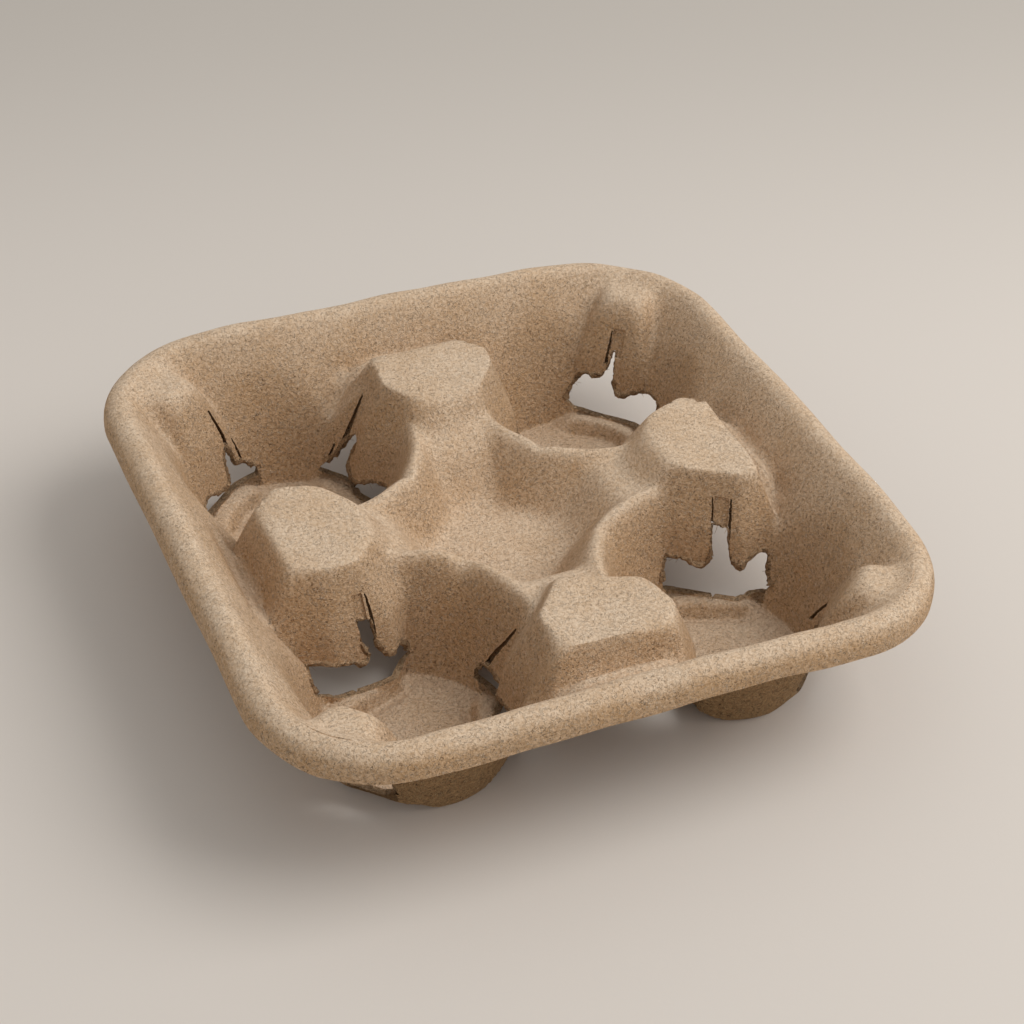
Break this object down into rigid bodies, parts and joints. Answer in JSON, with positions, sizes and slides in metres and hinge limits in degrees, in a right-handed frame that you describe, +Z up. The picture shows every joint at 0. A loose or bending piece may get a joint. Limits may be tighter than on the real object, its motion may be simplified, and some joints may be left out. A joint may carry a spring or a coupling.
{
  "type": "moulded pulp cup carrier",
  "caption": "Four-cup carrier tray moulded in one piece from grey-brown paper pulp, with torn windows in its wells.",
  "frame": {"origin": "on the table under the middle of the tray", "axes": "+Z up out of the cup wells, X and Y along the tray's two equal sides"},
  "size_m": [0.216, 0.216, 0.0538],
  "materials": {
    "pulp": "rough"
  },
  "bodies": {
    "root": {"tray": "pulp"}
  },
  "joints": []
}
